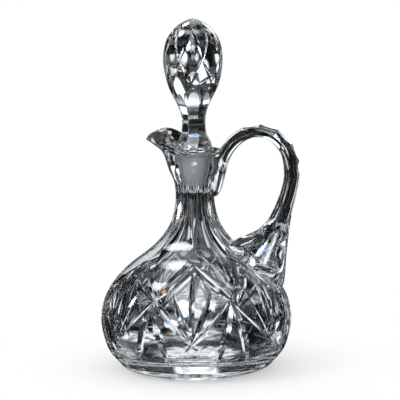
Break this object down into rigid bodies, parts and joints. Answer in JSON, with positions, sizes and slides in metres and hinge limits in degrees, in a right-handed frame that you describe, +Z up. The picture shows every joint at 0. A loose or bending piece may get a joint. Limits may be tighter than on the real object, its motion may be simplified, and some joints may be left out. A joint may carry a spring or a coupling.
{
  "type": "carafe",
  "caption": "Clear cut-glass carafe: squat lozenge-cut body, fluted neck with a raised pouring lip, notched applied handle and a loose ground stopper with an egg-shaped cut head.",
  "frame": {"origin": "centre of the base, on the plane the carafe stands on", "axes": "+Z up along the axis of the body, neck and stopper; +X toward the handle, -X toward the pouring spout; the X-Z plane is the middle plane of handle and spout"},
  "size_m": [0.1441, 0.136, 0.25],
  "materials": {
    "vessel_glass": "cut and polished clear crystal",
    "handle_glass": "fire-polished clear crystal",
    "stopper_glass": "cut and polished clear crystal with a finely ground plug"
  },
  "bodies": {
    "carafe": {"vessel": "vessel_glass", "handle": "handle_glass"},
    "stopper": {"stopper": "stopper_glass"}
  },
  "joints": [
    {"name": "stopper_lift", "type": "slide", "parent": "carafe", "child": "stopper", "axis": [0, 0, 1], "range_m": [0, 0.05]}
  ]
}
